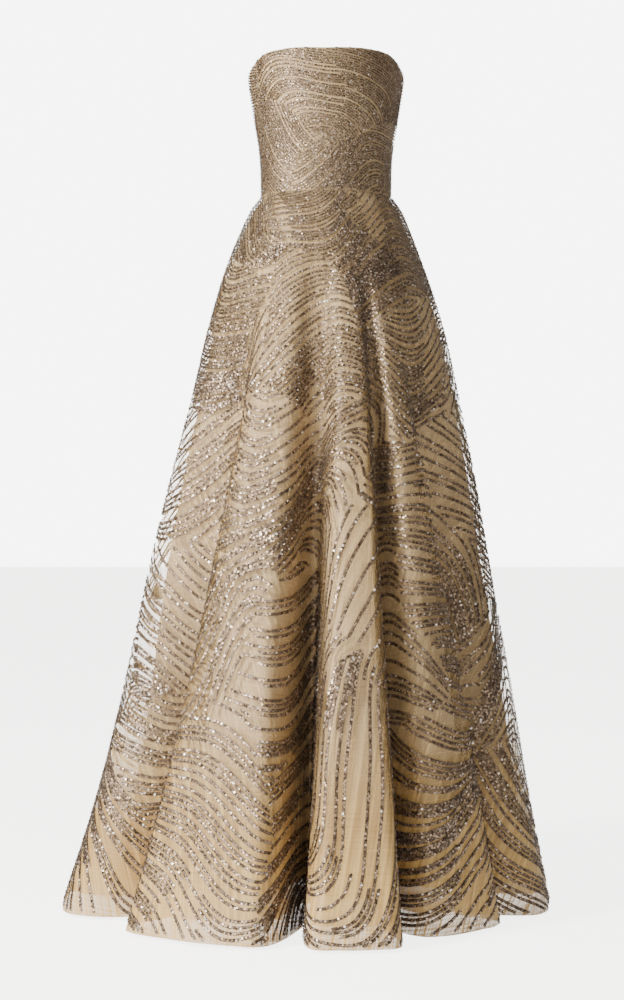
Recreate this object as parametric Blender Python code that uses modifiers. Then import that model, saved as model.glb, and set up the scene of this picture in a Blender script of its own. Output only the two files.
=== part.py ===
"""A floor-length strapless gown, filled out as it is when worn, with no wearer inside.

Each piece that is cut and sewn is its own solid: an embroidered net over a base on the bodice, and an
embroidered net, a plain sheer underskirt and an opaque lining on the skirt, with a zip at the centre back.

Lengths are in metres. The origin is the centre of the waist, +Z is up and the front faces -Y, so the
wearer's left is +X. An azimuth is an angle round the body in degrees: 0 is the front, 90 the wearer's left,
180 the centre back and -90 the wearer's right.
"""

import math
from collections import namedtuple

import bmesh
import bpy
import numpy as np

COLLECTION = "strapless_gown"

# The gown as a whole
SKIRT_LENGTH = 1.21
SEAM_GAP = 0.0003
SIDE_SEAM = 94.0
CENTRE_BACK = 180.0

# Walls of the cloth
BODICE_NET_WALL = 0.0010
BODICE_BASE_WALL = 0.0016
BODICE_BASE_INSET = 0.0015
SKIRT_WALL = 0.0012

# Outer face of the bodice: how far each level reaches from the axis
BodiceSection = namedtuple("BodiceSection", "height side front back")
BODICE_SECTIONS = (
    BodiceSection(0.000, 0.1110, 0.0945, 0.0860),
    BodiceSection(0.045, 0.1115, 0.0965, 0.0865),
    BodiceSection(0.085, 0.1145, 0.1015, 0.0885),
    BodiceSection(0.125, 0.1210, 0.1085, 0.0920),
    BodiceSection(0.165, 0.1275, 0.1130, 0.0950),
    BodiceSection(0.200, 0.1325, 0.1125, 0.0975),
    BodiceSection(0.240, 0.1345, 0.1090, 0.1000),
)

# Height of the bodice's top edge round the body, the same on both sides
NecklinePoint = namedtuple("NecklinePoint", "azimuth height")
NECKLINE = (
    NecklinePoint(0, 0.236),
    NecklinePoint(40, 0.237),
    NecklinePoint(58, 0.233),
    NecklinePoint(76, 0.216),
    NecklinePoint(94, 0.202),
    NecklinePoint(125, 0.187),
    NecklinePoint(155, 0.177),
    NecklinePoint(180, 0.175),
)

# Outer face of the skirt: how far the crests of its folds reach from the axis at each depth under the waist
SkirtSection = namedtuple("SkirtSection", "depth right left front back")
SKIRT_SECTIONS = (
    SkirtSection(0.000, 0.1110, 0.1110, 0.0945, 0.0860),
    SkirtSection(0.020, 0.1260, 0.1260, 0.1070, 0.1000),
    SkirtSection(0.063, 0.1470, 0.1450, 0.1280, 0.1230),
    SkirtSection(0.116, 0.1690, 0.1650, 0.1480, 0.1460),
    SkirtSection(0.219, 0.2000, 0.1990, 0.1800, 0.1840),
    SkirtSection(0.338, 0.2280, 0.2260, 0.2110, 0.2210),
    SkirtSection(0.480, 0.2650, 0.2540, 0.2460, 0.2640),
    SkirtSection(0.670, 0.3090, 0.2860, 0.2890, 0.3180),
    SkirtSection(0.850, 0.3460, 0.3180, 0.3270, 0.3650),
    SkirtSection(1.030, 0.3900, 0.3470, 0.3640, 0.4130),
    SkirtSection(1.210, 0.4450, 0.3820, 0.4000, 0.4620),
)

# The skirt's folds, from the wearer's right side round the front. Each has a crest and, after it, a valley.
# An azimuth is given at the hips and at the hem, a reach from the axis at the hem, and the depth under the
# waist at which the valley starts.
Fold = namedtuple("Fold", "name crest_hip crest_hem crest_reach valley_hip valley_hem valley_reach start")
FOLDS = (
    Fold("right_side", -94, -100, 0.452, -47, -62, 0.285, 0.12),
    Fold("right_front", -25, -26, 0.398, -4, -8.8, 0.215, 0.10),
    Fold("centre", 14, 9, 0.403, 24, 21, 0.240, 0.14),
    Fold("left_front", 33, 46, 0.350, 43, 61, 0.245, 0.26),
    Fold("left_side", 94, 97, 0.386, 118, 121, 0.275, 0.20),
    Fold("back_left", 140, 142, 0.440, 160, 161, 0.290, 0.16),
    Fold("back_centre", 180, 180, 0.470, 200, 199, 0.290, 0.14),
    Fold("back_right", 222, 221, 0.455, 243, 241, 0.290, 0.18),
)
HIP_DEPTH = 0.30
CREST_GROWTH = 2.0
VALLEY_OPENING = 2.2  # how soon a valley opens under its start
NORMAL_STEP = 0.01  # in turns and in metres, for the direction square to the cloth

# Even steps from a crest to a valley, and where on the fold its columns lie: closest on the steep side
EVEN_STEPS = (0.0, 0.35, 0.8, 1.0)
FOLD_STEPS = (0.0, 0.46, 0.8, 1.0)

# The skirt's layers. hem_rise is how far a layer ends above the net's hem. Sharpness narrows the valleys
# towards the hem, steepness is that of their sides, and bulge closes them there. The underskirt lies inside the net by a gap across the
# cloth, and the lining by a gap towards the axis, wider at the hem: at crests, in valleys and on the right.
# seam_lean is more room at each seam, because the inner edge of a faceted wall leans over it.
Layer = namedtuple("Layer", "name hem_rise sharpness steepness bulge columns_per_fold seam_lean")
NET = Layer("skirt_net", 0.0, 1.8, 2.8, 1.0, 12, 0.00015)
UNDERSKIRT = Layer("underskirt", 0.035, 1.8, 2.8, 1.0, 12, 0.00020)
LINING = Layer("lining", 0.070, 1.8, 2.6, 0.0, 10, 0.00050)
UNDERSKIRT_WAIST_GAP = 0.0018
UNDERSKIRT_HEM_GAP = 0.0070
LINING_WAIST_GAP = 0.0046
LINING_CREST_GAP = 0.0170
LINING_VALLEY_GAP = 0.0230
LINING_RIGHT_GAP = 0.0600
SKIRT_ROWS = 10
ROW_SPREAD = 1.5

# Turns of the skirt, counted in folds, at which its seams run
RIGHT_SEAM_TURN = 0
LEFT_SEAM_TURN = 4
BACK_SEAM_TURN = 6

# Columns and rows of cells in each bodice panel
BODICE_SEAM_LEAN = 0.00013
BODICE_ROWS = 6
BODICE_FRONT_COLUMNS = 24
BODICE_BACK_COLUMNS = 12

# The zip: a closed chain inside the centre-back seam, and a slider with its pull tab outside it
CHAIN_WIDTH = 0.0060
CHAIN_WALL = 0.0014
CHAIN_TOP = 0.160
CHAIN_BOTTOM = -0.190
CHAIN_ROWS = 22
CHAIN_CLEARANCE = 0.0008
SLIDER_HEIGHT = 0.150
SLIDER_SIZE = (0.0070, 0.0026, 0.0100)
SLIDER_ROUNDING = 0.0007
BAIL_RADIUS = 0.0016
BAIL_WIRE = 0.00045
HINGE_STANDOFF = 0.0011
HINGE_DROP = 0.0010
TAB_LENGTH = 0.0240
TAB_WIDTH = 0.0058
TAB_WALL = 0.0010
TAB_NECK_WIDTH = 0.0040
TAB_EYE = (0.0022, 0.0024)

# Colour, roughness and metallic value of each material
NET_FINISH = ("embroidered_net", (0.33, 0.26, 0.19), 0.45, 0.15)
SHEER_FINISH = ("plain_sheer", (0.68, 0.56, 0.42), 0.60, 0.0)
LINING_FINISH = ("lining_satin", (0.55, 0.41, 0.25), 0.42, 0.0)
ZIP_FINISH = ("zip_metal", (0.42, 0.37, 0.31), 0.32, 0.9)
CHAIN_FINISH = ("zip_tape", (0.42, 0.33, 0.22), 0.70, 0.0)


def smooth(at, knots, values):
    """A smooth curve through a table's values."""
    knots = np.asarray(knots, float)
    values = np.asarray(values, float)
    slopes = np.gradient(values, knots)
    at = np.clip(at, knots[0], knots[-1])
    i = np.clip(np.searchsorted(knots, at) - 1, 0, len(knots) - 2)
    step = knots[i + 1] - knots[i]
    t = (at - knots[i]) / step
    start = (1 + 2 * t) * (1 - t) ** 2 * values[i] + t * (1 - t) ** 2 * step * slopes[i]
    end = t * t * (3 - 2 * t) * values[i + 1] + t * t * (t - 1) * step * slopes[i + 1]
    return start + end


def column_of(table, column):
    return [getattr(row, column) for row in table]


def reach(azimuth, right, left, front, back):
    """Radius at an azimuth of a closed curve that reaches this far to its four sides."""
    across = math.sin(math.radians(azimuth))
    ahead = math.cos(math.radians(azimuth))
    side = left if across > 0 else right
    face = front if ahead > 0 else back
    return 1 / math.hypot(across / side, ahead / face)


def at_azimuth(azimuth, radius, height):
    angle = math.radians(azimuth)
    return np.array((radius * math.sin(angle), -radius * math.cos(angle), height))


def bodice_point(azimuth, height, inset):
    sizes = [smooth(height, column_of(BODICE_SECTIONS, "height"), column_of(BODICE_SECTIONS, name))
             for name in ("side", "side", "front", "back")]
    return at_azimuth(azimuth, reach(azimuth, *sizes) - inset, height)


def neckline(azimuth):
    return smooth(abs(azimuth), column_of(NECKLINE, "azimuth"), column_of(NECKLINE, "height"))


def skirt_reach(azimuth, depth):
    """Reach of the fold crests at an azimuth and a depth, before each fold's own factor."""
    sizes = [smooth(depth, column_of(SKIRT_SECTIONS, "depth"), column_of(SKIRT_SECTIONS, name))
             for name in ("right", "left", "front", "back")]
    return reach(azimuth, *sizes)


def fold_line(half_turn, depth):
    """Azimuth of a crest or valley at a depth, and its reach as a share of the skirt's there.

    Half turns count crests and valleys: 0 is the first fold's crest and 1 its valley.
    """
    fold = FOLDS[half_turn // 2 % len(FOLDS)]
    whole_rounds = 360 * (half_turn // (2 * len(FOLDS)))
    drift = max(0.0, (depth - HIP_DEPTH) / (SKIRT_LENGTH - HIP_DEPTH))
    if half_turn % 2:
        at_hip, at_hem, at_hem_reach = fold.valley_hip, fold.valley_hem, fold.valley_reach
        left = min(1.0, (SKIRT_LENGTH - depth) / (SKIRT_LENGTH - fold.start))
        grown = 1 - left ** VALLEY_OPENING
    else:
        at_hip, at_hem, at_hem_reach = fold.crest_hip, fold.crest_hem, fold.crest_reach
        grown = (depth / SKIRT_LENGTH) ** CREST_GROWTH
    azimuth = at_hip + (at_hem - at_hip) * drift + whole_rounds
    share_at_hem = at_hem_reach / skirt_reach(at_hem, SKIRT_LENGTH)
    return azimuth, 1 + (share_at_hem - 1) * grown


def folded_point(turn, depth, layer):
    """A point on a layer's folded form: a whole turn is a fold's crest, and a half turn its valley."""
    half_turn = int(math.floor(turn * 2))
    part = turn * 2 - half_turn
    down = depth / SKIRT_LENGTH
    valley_first = half_turn % 2 == 1
    from_crest = 1 - part if valley_first else part
    bulged = from_crest + layer.bulge * down * (math.sin(math.pi / 2 * from_crest) - from_crest)
    first_azimuth, first_share = fold_line(half_turn, depth)
    second_azimuth, second_share = fold_line(half_turn + 1, depth)
    across = 1 - bulged if valley_first else bulged
    azimuth = first_azimuth + (second_azimuth - first_azimuth) * across
    crest_share, valley_share = (second_share, first_share) if valley_first else (first_share, second_share)
    narrowed = from_crest ** (1 + (layer.sharpness - 1) * down)
    inner = narrowed ** layer.steepness
    into_valley = inner / (inner + (1 - narrowed) ** layer.steepness)
    radius = skirt_reach(azimuth, depth) * (crest_share + (valley_share - crest_share) * into_valley)
    if layer is LINING:
        hem_gap = LINING_CREST_GAP + (LINING_VALLEY_GAP - LINING_CREST_GAP) * into_valley
        to_right = max(0.0, -math.sin(math.radians(azimuth))) ** 2 * (1 - into_valley)
        radius -= LINING_WAIST_GAP + hem_gap * down + LINING_RIGHT_GAP * to_right * down ** 2
    return at_azimuth(azimuth, radius, -depth - SEAM_GAP / 2)


def skirt_point(turn, depth, layer):
    """A point on a layer's outer face."""
    point = folded_point(turn, depth, layer)
    if layer is not UNDERSKIRT:
        return point
    below = max(depth, NORMAL_STEP)
    around = folded_point(turn + NORMAL_STEP, depth, layer) - folded_point(turn - NORMAL_STEP, depth, layer)
    above_point = folded_point(turn, below - NORMAL_STEP, layer)
    upwards = above_point - folded_point(turn, below + NORMAL_STEP, layer)
    outwards = np.cross(around, upwards)
    gap = UNDERSKIRT_WAIST_GAP + (UNDERSKIRT_HEM_GAP - UNDERSKIRT_WAIST_GAP) * depth / SKIRT_LENGTH
    inset = point - outwards / np.linalg.norm(outwards) * gap
    inset[2] = min(inset[2], point[2])
    return inset


def column_turn(column, columns_per_fold):
    """Where a column of a layer's grid lies, in turns."""
    fold = math.floor(column / columns_per_fold)
    step = 2 * (column / columns_per_fold - fold)
    if step <= 1:
        return fold + np.interp(step, EVEN_STEPS, FOLD_STEPS) / 2
    return fold + 1 - np.interp(2 - step, EVEN_STEPS, FOLD_STEPS) / 2


def row_depth(layer, row):
    """Depth of a layer's row, counted down from the waist. The rows are closer where the skirt curves."""
    return min(SKIRT_LENGTH * (row / SKIRT_ROWS) ** ROW_SPREAD, SKIRT_LENGTH - layer.hem_rise)


def parted(position, start, end, lean, step, point_at):
    """A position along a panel, moved in from its seams at the panel's two edges."""
    if start < position < end:
        return position
    stretch = np.linalg.norm(point_at(position + step) - point_at(position - step)) / (2 * step)
    inwards = 1 if position <= start else -1
    return position + inwards * (SEAM_GAP / 2 + lean) / stretch


def clear_scene():
    for obj in list(bpy.data.objects):
        bpy.data.objects.remove(obj, do_unlink=True)


def material(finish):
    name, colour, roughness, metallic = finish
    made = bpy.data.materials.get(name)
    if made:
        return made
    made = bpy.data.materials.new(name)
    made.use_nodes = True
    shader = made.node_tree.nodes["Principled BSDF"]
    shader.inputs["Base Color"].default_value = (*colour, 1)
    shader.inputs["Roughness"].default_value = roughness
    shader.inputs["Metallic"].default_value = metallic
    return made


def add_object(name, mesh, collection, finish):
    obj = bpy.data.objects.new(name, mesh)
    collection.objects.link(obj)
    mesh.materials.append(material(finish))
    mesh.shade_smooth()
    return obj


def bent_grid(name, columns, rows, point_at, wall, collection, finish):
    """A grid bent to a surface and given a wall on its inner side.

    point_at takes how far across and how far up the grid a point is, from 0 to 1.
    """
    grid = bmesh.new()
    bmesh.ops.create_grid(grid, x_segments=columns, y_segments=rows, size=1)
    for vertex in grid.verts:
        across = round((vertex.co.x + 1) / 2 * columns) / columns
        up = round((vertex.co.y + 1) / 2 * rows) / rows
        vertex.co = point_at(across, up)
    mesh = bpy.data.meshes.new(name)
    grid.to_mesh(mesh)
    grid.free()
    obj = add_object(name, mesh, collection, finish)
    shell = obj.modifiers.new("wall", "SOLIDIFY")
    shell.thickness = wall
    shell.offset = -1
    return obj


def add_bodice_panel(name, start, end, columns, inset, wall, collection, finish):
    def point_at(across, up):
        azimuth = start + (end - start) * across

        def edge_point(at):
            return bodice_point(at, 0.0, inset)

        azimuth = parted(azimuth, start, end, BODICE_SEAM_LEAN, 0.1, edge_point)
        height = SEAM_GAP / 2 + up * (neckline((azimuth + 180) % 360 - 180) - SEAM_GAP / 2)
        return bodice_point(azimuth, height, inset)

    bent_grid(name, columns, BODICE_ROWS, point_at, wall, collection, finish)


def add_bodice(collection):
    layers = (
        ("bodice_net", 0.0, BODICE_NET_WALL, NET_FINISH),
        ("bodice_base", BODICE_BASE_INSET, BODICE_BASE_WALL, LINING_FINISH),
    )
    panels = (
        ("front", -SIDE_SEAM, SIDE_SEAM, BODICE_FRONT_COLUMNS),
        ("back_left", SIDE_SEAM, CENTRE_BACK, BODICE_BACK_COLUMNS),
        ("back_right", CENTRE_BACK, 360 - SIDE_SEAM, BODICE_BACK_COLUMNS),
    )
    for layer, inset, wall, finish in layers:
        for panel, start, end, columns in panels:
            add_bodice_panel(f"{layer}_{panel}", start, end, columns, inset, wall, collection, finish)


def add_skirt_panel(name, start, end, layer, collection, finish):
    columns = (end - start) * layer.columns_per_fold

    def point_at(across, up):
        depth = row_depth(layer, (1 - up) * SKIRT_ROWS)

        def edge_point(at):
            return skirt_point(at, depth, layer)

        turn = column_turn(start * layer.columns_per_fold + across * columns, layer.columns_per_fold)
        turn = parted(turn, start, end, layer.seam_lean, NORMAL_STEP, edge_point)
        return skirt_point(turn, depth, layer)

    bent_grid(name, columns, SKIRT_ROWS, point_at, SKIRT_WALL, collection, finish)


def add_skirt(collection):
    panels = (
        ("front", RIGHT_SEAM_TURN, LEFT_SEAM_TURN),
        ("back_left", LEFT_SEAM_TURN, BACK_SEAM_TURN),
        ("back_right", BACK_SEAM_TURN, len(FOLDS)),
    )
    layers = ((NET, NET_FINISH), (UNDERSKIRT, SHEER_FINISH), (LINING, LINING_FINISH))
    for layer, finish in layers:
        for panel, start, end in panels:
            add_skirt_panel(f"{layer.name}_{panel}", start, end, layer, collection, finish)


def innermost_back(height):
    """How far behind the axis the innermost cloth's inner face lies at the centre back."""
    bodice = bodice_point(CENTRE_BACK, max(height, 0.0), BODICE_BASE_INSET)[1] - BODICE_BASE_WALL
    depth = max(-height, 0.0)
    rows = [row_depth(LINING, row) for row in range(SKIRT_ROWS + 1)]
    faces = [skirt_point(BACK_SEAM_TURN, row, LINING)[1] for row in rows]
    slope = (np.interp(depth + 0.01, rows, faces) - np.interp(depth, rows, faces)) / 0.01
    lining = np.interp(depth, rows, faces) - SKIRT_WALL * math.hypot(1, slope)
    share = np.clip((height - 0.004) / 0.020, 0, 1)
    share = share * share * (3 - 2 * share)
    return lining + (bodice - lining) * share


def add_zip_chain(collection):
    def point_at(across, up):
        height = CHAIN_BOTTOM + (CHAIN_TOP - CHAIN_BOTTOM) * up
        slope = (innermost_back(height + 0.004) - innermost_back(height - 0.004)) / 0.008
        clearance = CHAIN_CLEARANCE * math.hypot(1, slope)
        return CHAIN_WIDTH * (0.5 - across), innermost_back(height) - clearance, height

    bent_grid("zip_chain", 1, CHAIN_ROWS, point_at, CHAIN_WALL, collection, CHAIN_FINISH)


def mesh_object(name, shape, collection, finish):
    mesh = bpy.data.meshes.new(name)
    shape.to_mesh(mesh)
    shape.free()
    return add_object(name, mesh, collection, finish)


def add_zip_slider(collection, cutters):
    """The slider's body with a ring-shaped bail, in which the pull tab's crossbar turns."""
    width, depth, height = SLIDER_SIZE
    cloth = bodice_point(CENTRE_BACK, SLIDER_HEIGHT + height / 2, 0.0)[1]
    face = cloth + SEAM_GAP + depth
    hinge = (0.0, face + HINGE_STANDOFF, SLIDER_HEIGHT - HINGE_DROP)
    body = bmesh.new()
    bmesh.ops.create_cube(body, size=1)
    bmesh.ops.scale(body, vec=(width, depth, height), verts=body.verts)
    slider = mesh_object("zip_slider", body, collection, ZIP_FINISH)
    slider.location = (0.0, face - depth / 2, SLIDER_HEIGHT)
    rounding = slider.modifiers.new("rounding", "BEVEL")
    rounding.width = SLIDER_ROUNDING
    rounding.segments = 2
    bpy.ops.mesh.primitive_torus_add(major_radius=BAIL_RADIUS, minor_radius=BAIL_WIRE, major_segments=20,
                                     minor_segments=8, location=hinge, rotation=(0, math.pi / 2, 0))
    bail = bpy.context.active_object
    bail.name = "bail_ring"
    for home in list(bail.users_collection):
        home.objects.unlink(bail)
    cutters.objects.link(bail)
    bail.hide_render = True
    bail.display_type = "WIRE"
    joined = slider.modifiers.new("bail", "BOOLEAN")
    joined.operation = "UNION"
    joined.object = bail
    return hinge


def add_pull_tab(hinge, collection, cutters):
    """A drop-shaped plate that hangs from its crossbar, with an eye for the bail to pass through."""
    outline = bpy.data.curves.new("pull_tab_outline", "CURVE")
    outline.dimensions = "2D"
    outline.fill_mode = "BOTH"
    outline.extrude = TAB_WALL / 2
    outline.resolution_u = 6
    spline = outline.splines.new("BEZIER")
    top = TAB_WALL / 2
    corners = (
        (-TAB_NECK_WIDTH / 2, top),
        (TAB_NECK_WIDTH / 2, top),
        (TAB_WIDTH / 2, top - TAB_LENGTH * 0.72),
        (0.0, top - TAB_LENGTH),
        (-TAB_WIDTH / 2, top - TAB_LENGTH * 0.72),
    )
    spline.bezier_points.add(len(corners) - 1)
    for point, (across, up) in zip(spline.bezier_points, corners):
        point.co = (across, up, 0)
        point.handle_left_type = "AUTO" if up < -TAB_EYE[1] else "VECTOR"
        point.handle_right_type = point.handle_left_type
    spline.use_cyclic_u = True
    guide = bpy.data.objects.new("pull_tab_outline", outline)
    collection.objects.link(guide)
    graph = bpy.context.evaluated_depsgraph_get()
    mesh = bpy.data.meshes.new_from_object(guide.evaluated_get(graph))
    bpy.data.objects.remove(guide)
    plate = bmesh.new()
    plate.from_mesh(mesh)
    bmesh.ops.remove_doubles(plate, verts=plate.verts, dist=1e-6)
    bpy.data.meshes.remove(mesh)
    tab = mesh_object("zip_pull_tab", plate, collection, ZIP_FINISH)
    tab.rotation_euler = (math.pi / 2, 0, 0)
    tab.location = hinge
    eye_width, eye_height = TAB_EYE
    eye = bmesh.new()
    bmesh.ops.create_cube(eye, size=1)
    bmesh.ops.scale(eye, vec=(eye_width, TAB_WALL * 4, eye_height), verts=eye.verts)
    cutter = mesh_object("pull_tab_eye", eye, cutters, ZIP_FINISH)
    cutter.location = (hinge[0], hinge[1], hinge[2] - TAB_WALL / 2 - eye_height / 2)
    cutter.hide_render = True
    cutter.display_type = "WIRE"
    hole = tab.modifiers.new("eye", "BOOLEAN")
    hole.operation = "DIFFERENCE"
    hole.object = cutter


def main():
    clear_scene()
    gown = bpy.data.collections.new(COLLECTION)
    cutters = bpy.data.collections.new("cutters")
    for collection in (gown, cutters):
        bpy.context.scene.collection.children.link(collection)
    cutters.hide_render = True
    add_bodice(gown)
    add_skirt(gown)
    add_zip_chain(gown)
    hinge = add_zip_slider(gown, cutters)
    add_pull_tab(hinge, gown, cutters)


main()
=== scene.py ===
import math
from collections import namedtuple

import bpy
import numpy as np
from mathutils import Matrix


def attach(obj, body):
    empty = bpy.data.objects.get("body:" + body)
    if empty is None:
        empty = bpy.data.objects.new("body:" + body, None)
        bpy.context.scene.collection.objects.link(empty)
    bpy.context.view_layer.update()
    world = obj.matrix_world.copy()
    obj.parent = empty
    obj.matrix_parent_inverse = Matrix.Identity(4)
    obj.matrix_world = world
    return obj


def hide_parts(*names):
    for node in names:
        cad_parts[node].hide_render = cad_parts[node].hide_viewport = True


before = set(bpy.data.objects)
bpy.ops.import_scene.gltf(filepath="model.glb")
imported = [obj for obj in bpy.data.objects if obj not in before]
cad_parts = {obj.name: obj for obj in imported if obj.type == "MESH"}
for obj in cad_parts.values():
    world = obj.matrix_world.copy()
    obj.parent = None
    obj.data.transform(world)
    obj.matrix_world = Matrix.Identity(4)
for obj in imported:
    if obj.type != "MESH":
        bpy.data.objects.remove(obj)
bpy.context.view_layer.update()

RNG = np.random.default_rng(11)
BODY = "gown"

# The gown's driving sizes, in metres, the same as its solids have. The front faces -Y and the waist is at 0.
SKIRT_LENGTH = 1.21
SIDE_SEAM = 94.0
TOTAL_TURNS = 8

BodiceSection = namedtuple("BodiceSection", "height side front back")
BODICE_SECTIONS = (
    BodiceSection(0.000, 0.1110, 0.0945, 0.0860),
    BodiceSection(0.045, 0.1115, 0.0965, 0.0865),
    BodiceSection(0.085, 0.1145, 0.1015, 0.0885),
    BodiceSection(0.125, 0.1210, 0.1085, 0.0920),
    BodiceSection(0.165, 0.1275, 0.1130, 0.0950),
    BodiceSection(0.200, 0.1325, 0.1125, 0.0975),
    BodiceSection(0.240, 0.1345, 0.1090, 0.1000),
)

NecklinePoint = namedtuple("NecklinePoint", "azimuth height")
NECKLINE = (
    NecklinePoint(0, 0.236),
    NecklinePoint(40, 0.237),
    NecklinePoint(58, 0.233),
    NecklinePoint(76, 0.216),
    NecklinePoint(94, 0.202),
    NecklinePoint(125, 0.187),
    NecklinePoint(155, 0.177),
    NecklinePoint(180, 0.175),
)

SkirtSection = namedtuple("SkirtSection", "depth right left front back")
SKIRT_SECTIONS = (
    SkirtSection(0.000, 0.1110, 0.1110, 0.0945, 0.0860),
    SkirtSection(0.020, 0.1260, 0.1260, 0.1070, 0.1000),
    SkirtSection(0.063, 0.1470, 0.1450, 0.1280, 0.1230),
    SkirtSection(0.116, 0.1690, 0.1650, 0.1480, 0.1460),
    SkirtSection(0.219, 0.2000, 0.1990, 0.1800, 0.1840),
    SkirtSection(0.338, 0.2280, 0.2260, 0.2110, 0.2210),
    SkirtSection(0.480, 0.2650, 0.2540, 0.2460, 0.2640),
    SkirtSection(0.670, 0.3090, 0.2860, 0.2890, 0.3180),
    SkirtSection(0.850, 0.3460, 0.3180, 0.3270, 0.3650),
    SkirtSection(1.030, 0.3900, 0.3470, 0.3640, 0.4130),
    SkirtSection(1.210, 0.4450, 0.3820, 0.4000, 0.4620),
)

Fold = namedtuple("Fold", "name crest_hip crest_hem crest_reach valley_hip valley_hem valley_reach start")
FOLDS = (
    Fold("right_side", -94, -100, 0.452, -47, -62, 0.285, 0.12),
    Fold("right_front", -25, -26, 0.398, -4, -8.8, 0.215, 0.10),
    Fold("centre", 14, 9, 0.403, 24, 21, 0.240, 0.14),
    Fold("left_front", 33, 46, 0.350, 43, 61, 0.245, 0.26),
    Fold("left_side", 94, 97, 0.386, 118, 121, 0.275, 0.20),
    Fold("back_left", 140, 142, 0.440, 160, 161, 0.290, 0.16),
    Fold("back_centre", 180, 180, 0.470, 200, 199, 0.290, 0.14),
    Fold("back_right", 222, 221, 0.455, 243, 241, 0.290, 0.18),
)
HIP_DEPTH = 0.30
CREST_GROWTH = 2.0
VALLEY_OPENING = 2.2
# Even steps from crest to valley, and where they lie: closest on a fold's steep side
EVEN_STEPS = (0.0, 0.35, 0.8, 1.0)
FOLD_STEPS = (0.0, 0.46, 0.8, 1.0)

# How each skirt layer follows the folds, and how far it lies inside the net
Layer = namedtuple("Layer", "name hem_rise sharpness steepness bulge crease_share columns_per_fold rows")
NET = Layer("net", 0.0, 1.8, 2.8, 1.0, 1.0, 40, 92)
UNDERSKIRT = Layer("underskirt", 0.035, 1.8, 2.8, 1.0, 1.0, 28, 62)
LINING = Layer("lining", 0.070, 1.8, 2.6, 0.0, 0.4, 24, 56)
# The rows of a sheet lie closest at the waist, and the first one just below it
ROW_CROWDING = 1.15
WAIST_GAP = 0.0002
UNDERSKIRT_WAIST_GAP = 0.0018
UNDERSKIRT_HEM_GAP = 0.0070
LINING_WAIST_GAP = 0.0046
LINING_CREST_GAP = 0.0170
LINING_VALLEY_GAP = 0.0230
LINING_RIGHT_GAP = 0.0600

# Soft ridges (height above 0) and troughs (below 0) that run down the skirt between the big folds.
# Each grows from nothing at its top, and is past its highest at its bottom.
CREASE_HALF_WAVES = 0.62
Crease = namedtuple("Crease", "turn drift top bottom width height")
CREASES = (
    Crease(0.18, 0.03, 0.42, 1.21, 0.035, 0.0050),
    Crease(0.30, -0.02, 0.20, 0.90, 0.030, -0.0040),
    Crease(0.70, 0.05, 0.08, 0.60, 0.040, 0.0030),
    Crease(0.86, 0.02, 0.50, 1.21, 0.045, -0.0045),
    Crease(1.16, 0.02, 0.34, 1.10, 0.040, 0.0040),
    Crease(1.34, -0.03, 0.16, 0.74, 0.030, -0.0030),
    Crease(1.86, 0.02, 0.60, 1.21, 0.040, -0.0040),
    Crease(2.14, 0.02, 0.30, 1.05, 0.050, 0.0035),
    Crease(2.76, 0.03, 0.26, 1.00, 0.040, -0.0035),
    Crease(3.10, -0.02, 0.64, 1.21, 0.050, 0.0040),
    Crease(3.68, 0.04, 0.14, 0.84, 0.030, 0.0045),
    Crease(3.84, 0.03, 0.40, 1.21, 0.035, -0.0050),
    Crease(4.22, -0.02, 0.36, 1.16, 0.040, 0.0045),
    Crease(4.78, 0.03, 0.22, 0.80, 0.040, -0.0035),
    Crease(5.20, 0.02, 0.50, 1.21, 0.045, 0.0045),
    Crease(5.80, -0.03, 0.30, 1.00, 0.040, -0.0040),
    Crease(6.22, 0.02, 0.44, 1.21, 0.045, 0.0040),
    Crease(6.74, 0.02, 0.16, 0.72, 0.035, -0.0030),
    Crease(7.18, -0.03, 0.40, 1.12, 0.045, 0.0045),
    Crease(7.76, 0.02, 0.28, 1.21, 0.040, -0.0040),
)

# Panels of the skirt, in turns, and of the bodice, in degrees
SKIRT_PANELS = (("front", 0, 4), ("back_left", 4, 6), ("back_right", 6, 8))
BODICE_PANELS = (("front", -SIDE_SEAM, SIDE_SEAM), ("back_left", SIDE_SEAM, 180.0),
                 ("back_right", 180.0, 360.0 - SIDE_SEAM))
BODICE_GIRTH_RADIUS = 0.115
BODICE_ROWS = 37
DEGREES_PER_COLUMN = 2.2
BASE_INSET = 0.0015

# Round cords along the hems and the neckline
HEM_CORD_RADIUS = 0.0005
HEM_CORD_COLUMNS = 60
NECK_CORD_RADIUS = 0.0006
NECK_CORD_DEGREES = 2.5
CORD_INSET = 0.0008

# The flat cut that the skirt's net is worked out on
FLAT_ROWS = 150
FLAT_COLUMNS = 1200
FLAT_FRACTIONS = 1200

# The embroidery: strands of metal thread with sequins and beads on them, in groups of a few strands
PITCH = 0.0034
STRAND_PITCH = 0.0082
STRAND_HALF_WIDTH = 0.0026
STRAND_HEIGHT = 0.0008
STRAND_EDGE_HEIGHT = 0.0002
RIBBON_STRIDE = 3
# A ribbon is broken where its points lie more than this many steps apart
LONGEST_STEP = 3.2
SHORTEST_RUN = 5
SEQUIN_RADIUS = 0.00200
SEQUIN_SIZES = (0.85, 1.12)
SEQUIN_TILT = 0.17
SEQUIN_SWAY = 0.0009
SEQUIN_JITTER = 0.00015
SEQUIN_LIFT = 0.0013
BEAD_RADIUS = 0.00135
BEAD_SIZES = (0.8, 1.15)
BEAD_HEIGHT = 0.0016
BEAD_SWAY = 0.0017
BEAD_LIFT = 0.0014
BEAD_STRIDE = 3
# The work is finer on the bodice and at the waist than it is lower down
BODICE_FINENESS = 0.54
WAIST_FINENESS = 0.62
FULL_SIZE_DEPTH = 0.50
# Where a wave is so steep that the strands would lie on one another, every second or fourth is kept
HALF_CROWDED = 0.76
FULLY_CROWDED = 0.41
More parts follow.
